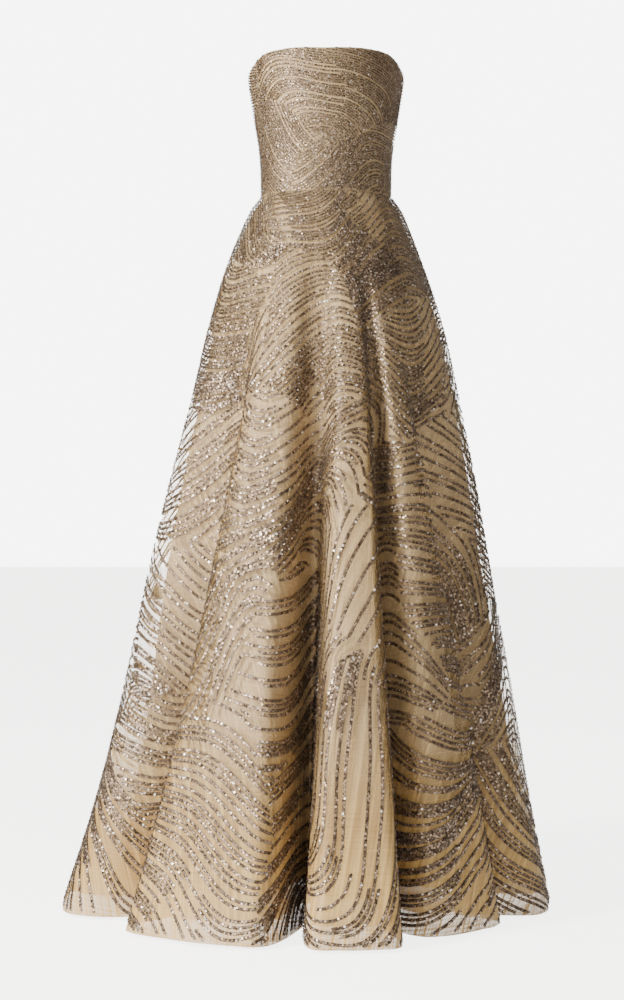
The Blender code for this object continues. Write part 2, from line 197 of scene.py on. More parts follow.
# How far apart the points are that give the direction out of the net
NORMAL_STEP_TURNS = 0.004
NORMAL_STEP_DEGREES = 0.5
NORMAL_STEP_DOWN = 0.002


def smooth(at, knots, values):
    """A smooth curve through a table's values."""
    knots = np.asarray(knots, float)
    values = np.asarray(values, float)
    slopes = np.gradient(values, knots)
    at = np.clip(at, knots[0], knots[-1])
    i = np.clip(np.searchsorted(knots, at) - 1, 0, len(knots) - 2)
    step = knots[i + 1] - knots[i]
    t = (at - knots[i]) / step
    start = (1 + 2 * t) * (1 - t) ** 2 * values[i] + t * (1 - t) ** 2 * step * slopes[i]
    end = t * t * (3 - 2 * t) * values[i + 1] + t * t * (t - 1) * step * slopes[i + 1]
    return start + end


def unit(vectors):
    return vectors / np.maximum(np.linalg.norm(vectors, axis=-1, keepdims=True), 1e-12)


def column_of(table, column):
    return [getattr(row, column) for row in table]


def reach(azimuth, right, left, front, back):
    """Radius at an azimuth of a closed curve that reaches this far to its four sides."""
    across = np.sin(np.radians(azimuth))
    ahead = np.cos(np.radians(azimuth))
    return 1 / np.hypot(across / np.where(across > 0, left, right), ahead / np.where(ahead > 0, front, back))


def at_azimuth(azimuth, radius, height):
    angle = np.radians(azimuth)
    return np.stack([radius * np.sin(angle), -radius * np.cos(angle), height + 0 * radius], axis=-1)


def bodice_point(azimuth, height, inset=0.0):
    sizes = [smooth(height, column_of(BODICE_SECTIONS, "height"), column_of(BODICE_SECTIONS, name))
             for name in ("side", "side", "front", "back")]
    return at_azimuth(azimuth, reach(azimuth, *sizes) - inset, height)


def neckline(azimuth):
    turned = np.abs((azimuth + 180) % 360 - 180)
    return smooth(turned, column_of(NECKLINE, "azimuth"), column_of(NECKLINE, "height"))


def skirt_reach(azimuth, depth):
    sizes = [smooth(depth, column_of(SKIRT_SECTIONS, "depth"), column_of(SKIRT_SECTIONS, name))
             for name in ("right", "left", "front", "back")]
    return reach(azimuth, *sizes)


def fold_table():
    """Azimuths at hip and hem, share of the reach at the hem, start and growth of each crest and valley."""
    rows = []
    for fold in FOLDS:
        rows.append((fold.crest_hip, fold.crest_hem, fold.crest_reach, 0.0, CREST_GROWTH))
        rows.append((fold.valley_hip, fold.valley_hem, fold.valley_reach, fold.start, VALLEY_OPENING))
    first = rows[0]
    rows.append((first[0] + 360, first[1] + 360, *first[2:]))
    at_hip, at_hem, hem_reach, start, power = np.array(rows, float).T
    return at_hip, at_hem, hem_reach / skirt_reach(at_hem, SKIRT_LENGTH), start, power


FOLD_TABLE = fold_table()


def fold_line(index, depth):
    """Azimuth of a crest or valley at a depth, and its reach as a share of the skirt's there."""
    at_hip, at_hem, hem_share, start, power = (column[index] for column in FOLD_TABLE)
    is_crest = index % 2 == 0
    drift = np.clip((depth - HIP_DEPTH) / (SKIRT_LENGTH - HIP_DEPTH), 0, None)
    along = np.clip((depth - start) / (SKIRT_LENGTH - start), 0, 1)
    grown = np.where(is_crest, along ** power, 1 - (1 - along) ** power)
    return at_hip + (at_hem - at_hip) * drift, 1 + (hem_share - 1) * grown


def crease_height(turn, depth):
    """How far the creases stand proud of the folds."""
    total = np.zeros(np.broadcast(turn, depth).shape)
    for crease in CREASES:
        along = np.clip((depth - crease.top) / (crease.bottom - crease.top), 0, 1)
        fade = np.sin(np.pi * np.clip(along * CREASE_HALF_WAVES, 0, 1)) ** 2 * (depth > crease.top)
        centre = crease.turn + crease.drift * along
        away = (turn - centre + TOTAL_TURNS / 2) % TOTAL_TURNS - TOTAL_TURNS / 2
        total += crease.height * fade * np.exp(-(away / crease.width) ** 2)
    return total


def folded_point(turn, depth, layer):
    """A point on the folded form that a layer follows.

    A whole turn is a fold's crest, and a half turn is its valley.
    """
    turn = np.asarray(turn, float) % TOTAL_TURNS
    half_turn = np.minimum(np.floor(turn * 2).astype(int), 2 * TOTAL_TURNS - 1)
    part = turn * 2 - half_turn
    down = depth / SKIRT_LENGTH
    valley_first = half_turn % 2 == 1
    from_crest = np.where(valley_first, 1 - part, part)
    bulged = from_crest + layer.bulge * down * (np.sin(np.pi / 2 * from_crest) - from_crest)
    first_azimuth, first_share = fold_line(half_turn, depth)
    second_azimuth, second_share = fold_line(half_turn + 1, depth)
    across = np.where(valley_first, 1 - bulged, bulged)
    azimuth = first_azimuth + (second_azimuth - first_azimuth) * across
    crest_share = np.where(valley_first, second_share, first_share)
    valley_share = np.where(valley_first, first_share, second_share)
    narrowed = from_crest ** (1 + (layer.sharpness - 1) * down)
    inner = narrowed ** layer.steepness
    into_valley = inner / (inner + (1 - narrowed) ** layer.steepness)
    radius = skirt_reach(azimuth, depth) * (crest_share + (valley_share - crest_share) * into_valley)
    if layer is LINING:
        hem_gap = LINING_CREST_GAP + (LINING_VALLEY_GAP - LINING_CREST_GAP) * into_valley
        to_right = np.clip(-np.sin(np.radians(azimuth)), 0, None) ** 2 * (1 - into_valley)
        radius = radius - LINING_WAIST_GAP - hem_gap * down - LINING_RIGHT_GAP * to_right * down ** 2
    radius = radius + crease_height(turn, depth) * layer.crease_share
    return at_azimuth(azimuth, radius, -depth)


def surface_normal(point_at, u, v, du, dv):
    """Unit direction out of a surface. u runs round the body and v runs down."""
    around = point_at(u + du, v) - point_at(u - du, v)
    upwards = point_at(u, v - dv) - point_at(u, v + dv)
    return unit(np.cross(around, upwards))


def column_turns(start, end, columns_per_fold):
    """Where a layer's columns lie, in turns."""
    steps = np.linspace(0, 1, columns_per_fold // 2 + 1)
    from_crest = np.interp(steps, EVEN_STEPS, FOLD_STEPS)
    fold = np.concatenate([from_crest / 2, 1 - from_crest[-2:0:-1] / 2])
    return np.append(np.concatenate([turn + fold for turn in range(start, end)]), end)


def skirt_point(turn, depth, layer):
    point = folded_point(turn, depth, layer)
    if layer is not UNDERSKIRT:
        return point
    step = 0.01
    out = surface_normal(lambda u, v: folded_point(u, v, layer), turn, np.maximum(depth, step), step, step)
    gap = UNDERSKIRT_WAIST_GAP + (UNDERSKIRT_HEM_GAP - UNDERSKIRT_WAIST_GAP) * depth / SKIRT_LENGTH
    return point - out * np.asarray(gap)[..., None]


def in_scene(name, data):
    """A new object in the scene, with this mesh, curve, camera or lamp."""
    obj = bpy.data.objects.new(name, data)
    bpy.context.scene.collection.objects.link(obj)
    return obj


def new_mesh(name, points, corners, face_sizes, smooth_faces=True):
    """A mesh object from its points, the corners of each face in turn, and each face's corner count."""
    mesh = bpy.data.meshes.new(name)
    mesh.vertices.add(len(points))
    mesh.vertices.foreach_set("co", np.asarray(points, np.float32).ravel())
    mesh.loops.add(len(corners))
    mesh.loops.foreach_set("vertex_index", np.asarray(corners, np.int32))
    starts = np.concatenate([[0], np.cumsum(face_sizes)[:-1]])
    mesh.polygons.add(len(face_sizes))
    mesh.polygons.foreach_set("loop_start", starts.astype(np.int32))
    mesh.update(calc_edges=True)
    mesh.validate()
    mesh.polygons.foreach_set("use_smooth", np.full(len(mesh.polygons), smooth_faces))
    return in_scene(name, mesh)


def grid_object(name, points, flat):
    """A sheet from a grid of points whose rows run down, with its flat place in metres as its UV map."""
    rows, columns = points.shape[:2]
    index = np.arange(rows * columns).reshape(rows, columns)
    corners = np.stack([index[:-1, :-1], index[1:, :-1], index[1:, 1:], index[:-1, 1:]], axis=-1).ravel()
    obj = new_mesh(name, points.reshape(-1, 3), corners, np.full(len(corners) // 4, 4))
    layer = obj.data.uv_layers.new(name="flat")
    layer.data.foreach_set("uv", flat.reshape(-1, 2)[corners].astype(np.float32).ravel())
    return obj


def flat_of(points):
    """Each grid point's distance along its row and down its column."""
    across = np.linalg.norm(np.diff(points, axis=1), axis=2)
    down = np.linalg.norm(np.diff(points, axis=0), axis=2)
    across = np.pad(np.cumsum(across, axis=1), ((0, 0), (1, 0)))
    down = np.pad(np.cumsum(down, axis=0), ((1, 0), (0, 0)))
    return np.stack([across - across[:, -1:] / 2, down], axis=-1)


def build_flat_cut():
    """The skirt net's flat cut: a ring sector whose radius grows with the distance down the cloth."""
    depth = SKIRT_LENGTH * np.linspace(0, 1, FLAT_ROWS)
    turn = np.linspace(0, TOTAL_TURNS, FLAT_COLUMNS + 1)
    points = skirt_point(*np.meshgrid(turn, depth), NET)
    across = np.pad(np.cumsum(np.linalg.norm(np.diff(points, axis=1), axis=2), axis=1), ((0, 0), (1, 0)))
    slant = np.pad(np.cumsum(np.linalg.norm(np.diff(points, axis=0), axis=2).mean(axis=1)), (1, 0))
    girth = across[:, -1]
    flare, waist = np.polyfit(slant, girth, 1)
    fractions = np.linspace(0, 1, FLAT_FRACTIONS + 1)
    turns = np.array([np.interp(fractions, row / row[-1], turn) for row in across])
    return {"slant": slant, "depth": depth, "flare": flare, "inner": waist / flare, "turns": turns,
            "girth": girth}


def turn_and_depth(cut, fraction, slant):
    """Where a point of the flat cut lies on the skirt."""
    row = np.interp(slant, cut["slant"], np.arange(len(cut["slant"])))
    low = np.minimum(row.astype(int), len(cut["slant"]) - 2)
    column = (fraction % 1) * FLAT_FRACTIONS
    left = np.minimum(column.astype(int), FLAT_FRACTIONS - 1)
    up, along = row - low, column - left
    turns = cut["turns"]
    upper = turns[low, left] * (1 - along) + turns[low, left + 1] * along
    lower = turns[low + 1, left] * (1 - along) + turns[low + 1, left + 1] * along
    return upper * (1 - up) + lower * up, np.interp(slant, cut["slant"], cut["depth"])


# The embroidery's patches, in tiers down the skirt. In each patch the strands run in waves of their own:
# "strands" is the most in a group, and "gap" is the usual bare strip between two groups.
Tier = namedtuple("Tier", "slant patches strands gap wave_height wave_length tilt fineness")
SKIRT_TIERS = (
    Tier(0.08, 5, 4, 0.0022, 0.034, 0.30, 24, 0.64),
    Tier(0.30, 6, 4, 0.0036, 0.060, 0.36, 26, 0.80),
    Tier(0.55, 7, 4, 0.0056, 0.085, 0.42, 30, 0.96),
    Tier(0.82, 8, 4, 0.0074, 0.105, 0.48, 30, 1.0),
    Tier(1.12, 8, 4, 0.0086, 0.105, 0.54, 22, 1.0),
)
BODICE_TIERS = (
    Tier(0.05, 4, 7, 0.0012, 0.034, 0.26, 36, 0.54),
    Tier(0.19, 4, 7, 0.0012, 0.034, 0.28, 42, 0.54),
)
# How far a patch's strands are drawn from its centre, before the other patches cut them off
SKIRT_PATCH_REACH = 0.52
BODICE_PATCH_REACH = 0.26
SKIRT_TOP_MARGIN = 0.0015
SKIRT_HEM_MARGIN = 0.005
BODICE_MARGIN = 0.0010

# How a patch's waves change from strand to strand: swing, and pace in radians for each metre
HEIGHT_SWING, HEIGHT_PACE = 0.35, 9
PHASE_SWING, PHASE_PACE = 0.9, 6
RIPPLE_HEIGHT, RIPPLE_LENGTH, RIPPLE_PACE = 0.12, 0.43, 8
STRAND_PITCHES = (0.95, 1.08)
GAP_WIDTHS = (0.4, 1.9)
# More than the breaks that one strand has
BREAKS = 1000

# How the patches of a tier differ from the tier's own values
SITE_JITTER = 0.22
SITE_DRIFT = 0.05
PATCH_GAPS = (0.75, 1.3)
PATCH_HEIGHTS = (0.6, 1.3)
PATCH_LENGTHS = (0.8, 1.25)
TURNED_SHARE = 0.22
TURNED_BY = 48
PATCH_FLATNESS = 1.15

# Waves in the borders between patches: height, pace in radians for each metre, and phase
BORDER_WAVES_ACROSS = ((0.045, 11, 2.1), (0.020, 27, 0.4))
BORDER_WAVES_DOWN = ((0.045, 9, 0.7), (0.022, 23, 1.9))


def wavy_rows(strands, gap, wave_height, wave_length, tilt, fineness, reach_out):
    """Points at an even pitch along a patch's strands, about its centre, and the strand that each is on."""
    phase = RNG.uniform(0, 2 * np.pi, 4)
    pitch = PITCH * fineness
    across = np.arange(-reach_out, reach_out, pitch)
    sets, numbers = [], []
    level = -reach_out
    number = 0
    left_in_group = RNG.integers(1, strands + 1)
    while level < reach_out:
        sway = 1 + HEIGHT_SWING * np.sin(level * HEIGHT_PACE + phase[0])
        lead = PHASE_SWING * np.sin(level * PHASE_PACE + phase[2])
        bend = np.sin(2 * np.pi * across / wave_length + phase[1] + lead)
        ripple = RIPPLE_HEIGHT * np.sin(2 * np.pi * across / (wave_length * RIPPLE_LENGTH) + phase[3]
                                        + level * RIPPLE_PACE)
        y = level + wave_height * sway * (bend + ripple)
        along = np.pad(np.cumsum(np.hypot(np.diff(across), np.diff(y))), (1, 0))
        even = np.arange(RNG.uniform(0, pitch), along[-1], pitch)
        closeness = np.interp(even, along, 1 / np.hypot(1, np.gradient(y, across)))
        shown = (closeness > HALF_CROWDED) | (number % 2 == 0)
        shown &= (closeness > FULLY_CROWDED) | (number % 4 == 0)
        sets.append(np.stack([np.interp(even, along, across), np.interp(even, along, y)], axis=-1)[shown])
        numbers.append((number * BREAKS + np.cumsum(~shown))[shown])
        left_in_group -= 1
        level += STRAND_PITCH * fineness * RNG.uniform(*STRAND_PITCHES)
        if left_in_group <= 0:
            level += gap * RNG.uniform(*GAP_WIDTHS)
            left_in_group = RNG.integers(1, strands + 1)
        number += 1
    points, numbers = np.concatenate(sets), np.concatenate(numbers)
    turned = np.radians(tilt)
    spin = np.array([[np.cos(turned), -np.sin(turned)], [np.sin(turned), np.cos(turned)]])
    return points @ spin.T, numbers


def warp(x, y):
    """Bends the borders between patches, so that they run in curves."""
    bent_x, bent_y = x, y
    for height, pace, phase in BORDER_WAVES_ACROSS:
        bent_x = bent_x + height * np.sin(pace * y + phase)
    for height, pace, phase in BORDER_WAVES_DOWN:
        bent_y = bent_y + height * np.sin(pace * x + phase)
    return bent_x, bent_y


def patch_sites(tiers, girth_at):
    """Each patch's centre, as (share of the girth, distance from the waist), with its tier."""
    sites = []
    for tier in tiers:
        start = RNG.uniform(0, 1)
        for i in range(tier.patches):
            share = (start + (i + RNG.uniform(-SITE_JITTER, SITE_JITTER)) / tier.patches) % 1
            drift = RNG.uniform(-SITE_DRIFT, SITE_DRIFT) * girth_at(tier.slant)
            sites.append((share, tier.slant + drift, tier))
    return sites


def nearest_patch(share, slant, sites, girth_at):
    """Number of the patch that each point of the cut belongs to."""
    girth = girth_at(slant)
    x, y = warp(share * girth, slant)
    nearest = np.full(share.shape, np.inf)
    owner = np.zeros(share.shape, int)
    for number, (site_share, site_slant, _) in enumerate(sites):
        away = ((x / girth - site_share) + 0.5) % 1 - 0.5
        distance = np.hypot(away * girth, (y - site_slant) * PATCH_FLATNESS)
        closer = distance < nearest
        nearest[closer] = distance[closer]
        owner[closer] = number
    return owner


def embroider(tiers, girth_at, to_share, reach_out, near, far):
    """Every row of thread on a cut, between the distances near and far(share) from the waist.

    Returns each point's share of the girth, its distance from the waist, and the run that it is in.
    """
    sites = patch_sites(tiers, girth_at)
    shares, slants, runs = [], [], []
    next_run = 0
    for number, (site_share, site_slant, tier) in enumerate(sites):
        tilt = RNG.uniform(-1, 1) * tier.tilt
        if RNG.uniform() < TURNED_SHARE:
            tilt += RNG.choice((-1, 1)) * TURNED_BY
        gap = tier.gap * RNG.uniform(*PATCH_GAPS)
        height = tier.wave_height * RNG.uniform(*PATCH_HEIGHTS)
        length = tier.wave_length * RNG.uniform(*PATCH_LENGTHS)
        local, rows = wavy_rows(tier.strands, gap, height, length, tilt, tier.fineness, reach_out)
        share, slant = to_share(site_share, site_slant, local)
        share = share % 1
        inside = (slant > near) & (slant < far(share))
        owner = np.full(len(share), -1)
        owner[inside] = nearest_patch(share[inside], slant[inside], sites, girth_at)
        mine = owner == number
        starts = mine & ~(np.roll(mine, 1) & (np.roll(rows, 1) == rows))
        run = np.cumsum(starts)[mine] + next_run
        share, slant = share[mine], slant[mine]
        sizes = np.bincount(run)
        kept = sizes[run] >= SHORTEST_RUN
        shares.append(share[kept])
        slants.append(slant[kept])
        runs.append(run[kept])
        next_run = run.max() + 1 if len(run) else next_run
    return np.concatenate(shares), np.concatenate(slants), np.concatenate(runs)


def skirt_embroidery(cut):
    """Turn, depth and run of every point of thread on the skirt."""
    inner, deepest = cut["inner"], cut["slant"][-1]

    def girth_at(slant):
        return np.interp(slant, cut["slant"], cut["girth"])

    def to_share(site_share, site_slant, local):
        across, ahead = local[:, 0], inner + site_slant + local[:, 1]
        radius = np.hypot(across, ahead)
        slant = radius - inner
        return site_share + np.arctan2(across, ahead) * radius / girth_at(slant), slant

    share, slant, run = embroider(SKIRT_TIERS, girth_at, to_share, SKIRT_PATCH_REACH, SKIRT_TOP_MARGIN,
                                  lambda at: deepest - SKIRT_HEM_MARGIN + 0 * at)
    turn, depth = turn_and_depth(cut, share, slant)
    return turn, depth, run


def bodice_embroidery():
    """Azimuth, height and run of every point of thread on the bodice."""
    girth = 2 * np.pi * BODICE_GIRTH_RADIUS

    def to_share(site_share, site_slant, local):
        return site_share + local[:, 0] / girth, site_slant + local[:, 1]

    share, height, run = embroider(BODICE_TIERS, lambda at: girth + 0 * at, to_share, BODICE_PATCH_REACH,
                                   BODICE_MARGIN, lambda at: neckline(at * 360) - BODICE_MARGIN)
    return share * 360, height, run


def row_geometry(points, out, run):
    """Direction along each row and across it, at every point."""
    ahead = np.roll(points, -1, axis=0) - points
    behind = points - np.roll(points, 1, axis=0)
    last = np.roll(run, -1) != run
    first = np.roll(run, 1) != run
    along = unit(np.where(last[:, None], behind, np.where(first[:, None], ahead, ahead + behind)))
    return along, unit(np.cross(out, along))


def thread_rows(name, points, out, side, run, keep, fineness):
    """Domed ribbons of thread along the rows."""
    order = np.arange(len(run))
    starts = np.concatenate([[True], run[1:] != run[:-1]])
    from_start = order - np.maximum.accumulate(np.where(starts, order, 0))
    ends = np.concatenate([run[1:] != run[:-1], [True]])
    chosen = np.flatnonzero((from_start % RIBBON_STRIDE == 0) | ends)
    joined = (run[chosen][1:] == run[chosen][:-1]) & keep[chosen][1:] & keep[chosen][:-1]
    steps = np.linalg.norm(np.diff(points[chosen], axis=0), axis=1)
    joined &= steps < LONGEST_STEP * PITCH * RIBBON_STRIDE
    half_width = (STRAND_HALF_WIDTH * fineness[chosen])[:, None]
    base, up, across = points[chosen], out[chosen], side[chosen] * half_width
    edge = up * STRAND_EDGE_HEIGHT
    ring = np.stack([base - across + edge, base + up * STRAND_HEIGHT, base + across + edge], axis=1)
    first = np.flatnonzero(joined) * 3
    quads = [np.stack([first + k, first + k + 3, first + k + 4, first + k + 1], axis=-1) for k in range(2)]
    corners = np.concatenate(quads).ravel()
    return used_only(name, ring.reshape(-1, 3), corners, 4)


def used_only(name, points, corners, size):
    """A mesh object with the points that its faces use."""
    used, corners = np.unique(corners, return_inverse=True)
    return new_mesh(name, points[used], corners.ravel(), np.full(len(corners) // size, size))


def sequins(name, centres, out, along, radius):
    """Six-sided discs of foil, each tilted its own way and with its own tone."""
    count = len(centres)
    tilted = unit(out + RNG.normal(0, SEQUIN_TILT, (count, 3)))
    first = unit(np.cross(tilted, along))
    second = np.cross(tilted, first)
    size = (radius * RNG.uniform(*SEQUIN_SIZES, count))[:, None]
    angles = np.arange(6) * np.pi / 3
    points = [centres + size * (math.cos(a) * first + math.sin(a) * second) for a in angles]
    obj = new_mesh(name, np.stack(points, axis=1).reshape(-1, 3), np.arange(6 * count), np.full(count, 6),
                   smooth_faces=False)
    add_tone(obj, RNG.uniform(0, 1, count))
    return obj


def seed_beads(name, centres, out, along, side, radius):
    """Small dark beads, each a four-sided dome."""
    count = len(centres)
    size = (radius * RNG.uniform(*BEAD_SIZES, count))[:, None]
    base = [centres + along * size, centres + side * size, centres - along * size, centres - side * size]
    points = np.stack([centres + out * BEAD_HEIGHT] + base, axis=1).reshape(-1, 3)
    shape = np.array([[0, 2, 1], [0, 3, 2], [0, 4, 3], [0, 1, 4]]).ravel()
    corners = (shape[None, :] + 5 * np.arange(count)[:, None]).ravel()
    obj = new_mesh(name, points, corners, np.full(4 * count, 3), smooth_faces=False)
    add_tone(obj, np.repeat(RNG.uniform(0, 1, count), 4))
    return obj


def add_tone(obj, values):
    """Keeps a number from 0 to 1 on each face, for the material's tone."""
    tone = obj.data.attributes.new("tone", "FLOAT", "FACE")
    tone.data.foreach_set("value", values.astype(np.float32))


def beadwork(prefix, points, out, run, masks, fineness):
    """Thread, sequins and beads for each panel. Returns {panel: [objects]}."""
    along, side = row_geometry(points, out, run)
    order = np.arange(len(run))
    made = {}
    for panel, keep in masks.items():
        threads = thread_rows(f"{prefix}_threads_{panel}", points, out, side, run, keep, fineness)
        threads.data.materials.append(thread_material())
        on = np.flatnonzero(keep)
        sway = np.where(on % 2 == 0, SEQUIN_SWAY, -SEQUIN_SWAY) * fineness[on]
        jitter = RNG.normal(0, SEQUIN_JITTER, (len(on), 3))
        centres = points[on] + side[on] * sway[:, None] + out[on] * SEQUIN_LIFT + jitter
        radius = SEQUIN_RADIUS * fineness[on]
        foil = sequins(f"{prefix}_sequins_{panel}", centres, out[on], along[on], radius)
        foil.data.materials.append(sequin_material())
        some = np.flatnonzero(keep & (order % BEAD_STRIDE == 0))
        sway = RNG.choice((-BEAD_SWAY, BEAD_SWAY), len(some)) * fineness[some]
        centres = points[some] + side[some] * sway[:, None] + out[some] * BEAD_LIFT
        glass = seed_beads(f"{prefix}_beads_{panel}", centres, out[some], along[some], side[some],
                           BEAD_RADIUS * fineness[some])
        glass.data.materials.append(bead_material())
        made[panel] = [threads, foil, glass]
    return made


def material(name, build):
    """The material of this name, built the first time that it is asked for."""
    found = bpy.data.materials.get(name)
    if found:
        return found
    made = bpy.data.materials.new(name)
    made.use_nodes = True
    build(made.node_tree)
    return made


def add(tree, kind, **values):
    node = tree.nodes.new(kind)
    for key, value in values.items():
        setattr(node, key, value)
    return node


def ramp(tree, factor, stops):
    """Colour from a factor, through stops of (position, colour)."""
    node = add(tree, "ShaderNodeValToRGB")
    elements = node.color_ramp.elements
    while len(elements) < len(stops):
        elements.new(0.5)
    for element, (position, colour) in zip(elements, stops):
        element.position = position
        element.color = (*colour, 1)
    tree.links.new(factor, node.inputs["Fac"])
    return node.outputs["Color"]


def noise(tree, vector, scale, detail):
    node = add(tree, "ShaderNodeTexNoise")
    node.inputs["Scale"].default_value = scale
    node.inputs["Detail"].default_value = detail
    tree.links.new(vector, node.inputs["Vector"])
    return node.outputs["Fac"]


def scaled(tree, vector, scale):
    node = add(tree, "ShaderNodeMapping")
    node.inputs["Scale"].default_value = scale
    tree.links.new(vector, node.inputs["Vector"])
    return node.outputs["Vector"]


def bump(tree, height, strength, distance):
    node = add(tree, "ShaderNodeBump")
    node.inputs["Strength"].default_value = strength
    node.inputs["Distance"].default_value = distance
    tree.links.new(height, node.inputs["Height"])
    return node.outputs["Normal"]


def to_range(tree, value, low, high, start=0.3, end=0.7):
    """Maps the values from start to end onto low to high."""
    node = add(tree, "ShaderNodeMapRange")
    node.inputs["From Min"].default_value = start
    node.inputs["From Max"].default_value = end
    node.inputs["To Min"].default_value = low
    node.inputs["To Max"].default_value = high
    tree.links.new(value, node.inputs["Value"])
    return node.outputs["Result"]


# Noise over the flat cloth, in cells for each metre across and down
WARP_YARNS = (420, 7, 1)
WEFT_YARNS = (9, 300, 1)
SHEER_CLOUDS = (5, 5, 1)
SLUBS = (150, 2.5, 1)
SATIN_CLOUDS = (4, 2.2, 1)
SATIN_WEAVE = (900, 260, 1)
TAPE_WEAVE = (2600, 900, 1)

# The sheer cloths' name, light and dark yarn, and least and most cover
NET_MATERIAL = ("net_sheer", (0.62, 0.41, 0.155), (0.46, 0.28, 0.090), 0.06, 0.24)
UNDERSKIRT_MATERIAL = ("underskirt_sheer", (0.92, 0.77, 0.53), (0.80, 0.62, 0.38), 0.05, 0.20)
# What a stiffened hem and thick places in the yarn add to the cover
HEM_COVER = 0.74
HEM_COVER_FROM, HEM_COVER_TO = 0.90, 1.18
SLUB_COVER = 0.24

LINING_TONES = ((0.25, (0.47, 0.185, 0.035)), (0.75, (0.56, 0.245, 0.060)))
THREAD_TONES = ((0.30, (0.045, 0.029, 0.017)), (0.50, (0.128, 0.086, 0.053)), (0.72, (0.31, 0.220, 0.145)))
SEQUIN_TONES = ((0.0, (0.060, 0.040, 0.028)), (0.28, (0.16, 0.115, 0.083)), (0.62, (0.33, 0.240, 0.168)),
                (0.95, (0.50, 0.380, 0.288)), (1.0, (0.92, 0.87, 0.83)))
BEAD_TONES = ((0.0, (0.008, 0.005, 0.004)), (0.75, (0.022, 0.015, 0.011)), (0.92, (0.09, 0.06, 0.045)),
              (1.0, (0.45, 0.36, 0.29)))
METAL_TONES = ((0.3, (0.30, 0.255, 0.205)), (0.7, (0.48, 0.42, 0.35)))
TAPE_TONES = ((0.3, (0.36, 0.22, 0.10)), (0.7, (0.54, 0.36, 0.19)))
COIL_TONES = ((0.3, (0.40, 0.26, 0.13)), (0.7, (0.52, 0.36, 0.20)))


def sheer_material(name, light, dark, least, most):
    """Woven sheer cloth: streaks of finer and coarser yarn, partly see-through."""
    def build(tree):
        shader = tree.nodes["Principled BSDF"]
        flat = add(tree, "ShaderNodeUVMap", uv_map="flat").outputs["UV"]
        warps = noise(tree, scaled(tree, flat, WARP_YARNS), 1.0, 3)
        wefts = noise(tree, scaled(tree, flat, WEFT_YARNS), 1.0, 2)
        both = add(tree, "ShaderNodeMath", operation="ADD")
        tree.links.new(warps, both.inputs[0])
        tree.links.new(to_range(tree, wefts, 0, 0.35), both.inputs[1])
        cloudy = noise(tree, scaled(tree, flat, SHEER_CLOUDS), 1.0, 3)
        slubs = noise(tree, scaled(tree, flat, SLUBS), 1.0, 3)
        streaky = add(tree, "ShaderNodeMath", operation="MULTIPLY_ADD")
        tree.links.new(slubs, streaky.inputs[0])
        streaky.inputs[1].default_value = 1.4
        tree.links.new(to_range(tree, cloudy, -0.42, 0.02), streaky.inputs[2])
        colour = ramp(tree, streaky.outputs[0], ((0.3, dark), (0.7, light)))
        tree.links.new(colour, shader.inputs["Base Color"])
        down = add(tree, "ShaderNodeSeparateXYZ")
        tree.links.new(flat, down.inputs[0])
        cover = to_range(tree, both.outputs[0], least, most, 0.48, 0.88)
        for more in (to_range(tree, down.outputs["Y"], 0.0, HEM_COVER, HEM_COVER_FROM, HEM_COVER_TO),
                     to_range(tree, slubs, 0.0, SLUB_COVER, 0.50, 0.70)):
            total = add(tree, "ShaderNodeMath", operation="ADD", use_clamp=True)
            tree.links.new(cover, total.inputs[0])
            tree.links.new(more, total.inputs[1])
            cover = total.outputs[0]
        tree.links.new(cover, shader.inputs["Alpha"])
        tree.links.new(bump(tree, both.outputs[0], 0.25, 0.0004), shader.inputs["Normal"])
        shader.inputs["Roughness"].default_value = 0.55
        shader.inputs["Sheen Weight"].default_value = 0.12
        shader.inputs["Sheen Roughness"].default_value = 0.4
    return material(name, build)


def lining_material():
    """Opaque tan satin."""
    def build(tree):
        shader = tree.nodes["Principled BSDF"]
        flat = add(tree, "ShaderNodeUVMap", uv_map="flat").outputs["UV"]
        cloudy = noise(tree, scaled(tree, flat, SATIN_CLOUDS), 1.0, 4)
        colour = ramp(tree, cloudy, LINING_TONES)
        tree.links.new(colour, shader.inputs["Base Color"])
        weave = noise(tree, scaled(tree, flat, SATIN_WEAVE), 1.0, 2)
        tree.links.new(bump(tree, weave, 0.2, 0.0003), shader.inputs["Normal"])
        tree.links.new(to_range(tree, weave, 0.42, 0.55), shader.inputs["Roughness"])
        shader.inputs["Sheen Weight"].default_value = 0.10
    return material("lining_satin", build)


def grain(scale, detail):
    """Noise all through an object."""
    return lambda tree: noise(tree, add(tree, "ShaderNodeTexCoord").outputs["Object"], scale, detail)


def face_tone(tree):
    return add(tree, "ShaderNodeAttribute", attribute_name="tone").outputs["Fac"]


def tape_weave(tree):
    flat = add(tree, "ShaderNodeUVMap", uv_map="flat").outputs["UV"]
    return noise(tree, scaled(tree, flat, TAPE_WEAVE), 1.0, 2)


def toned_material(name, pattern, tones, relief=None, roughness=None, **settings):
    """A material whose colour follows a pattern, as its relief and its roughness may."""
    def build(tree):
        inputs = tree.nodes["Principled BSDF"].inputs
        factor = pattern(tree)
        tree.links.new(ramp(tree, factor, tones), inputs["Base Color"])
        if relief:
            tree.links.new(bump(tree, factor, *relief), inputs["Normal"])
        if roughness:
            tree.links.new(to_range(tree, factor, *roughness), inputs["Roughness"])
        for key, value in settings.items():
            inputs[key.replace("_", " ")].default_value = value
    return material(name, build)


def thread_material():
    """Dark twisted thread with some metal in it."""
    return toned_material("metallic_thread", grain(700, 2), THREAD_TONES, relief=(0.7, 0.0008),
                          Metallic=0.35, Roughness=0.42)


def sequin_material():
    """Bronze to silver foil."""
    return toned_material("foil_sequins", face_tone, SEQUIN_TONES, Metallic=0.7, Roughness=0.46)


def bead_material():
    """Nearly black glass, with a few pale beads among it."""
    return toned_material("glass_beads", face_tone, BEAD_TONES, Metallic=0.2, Roughness=0.30,
                          Coat_Weight=0.3)


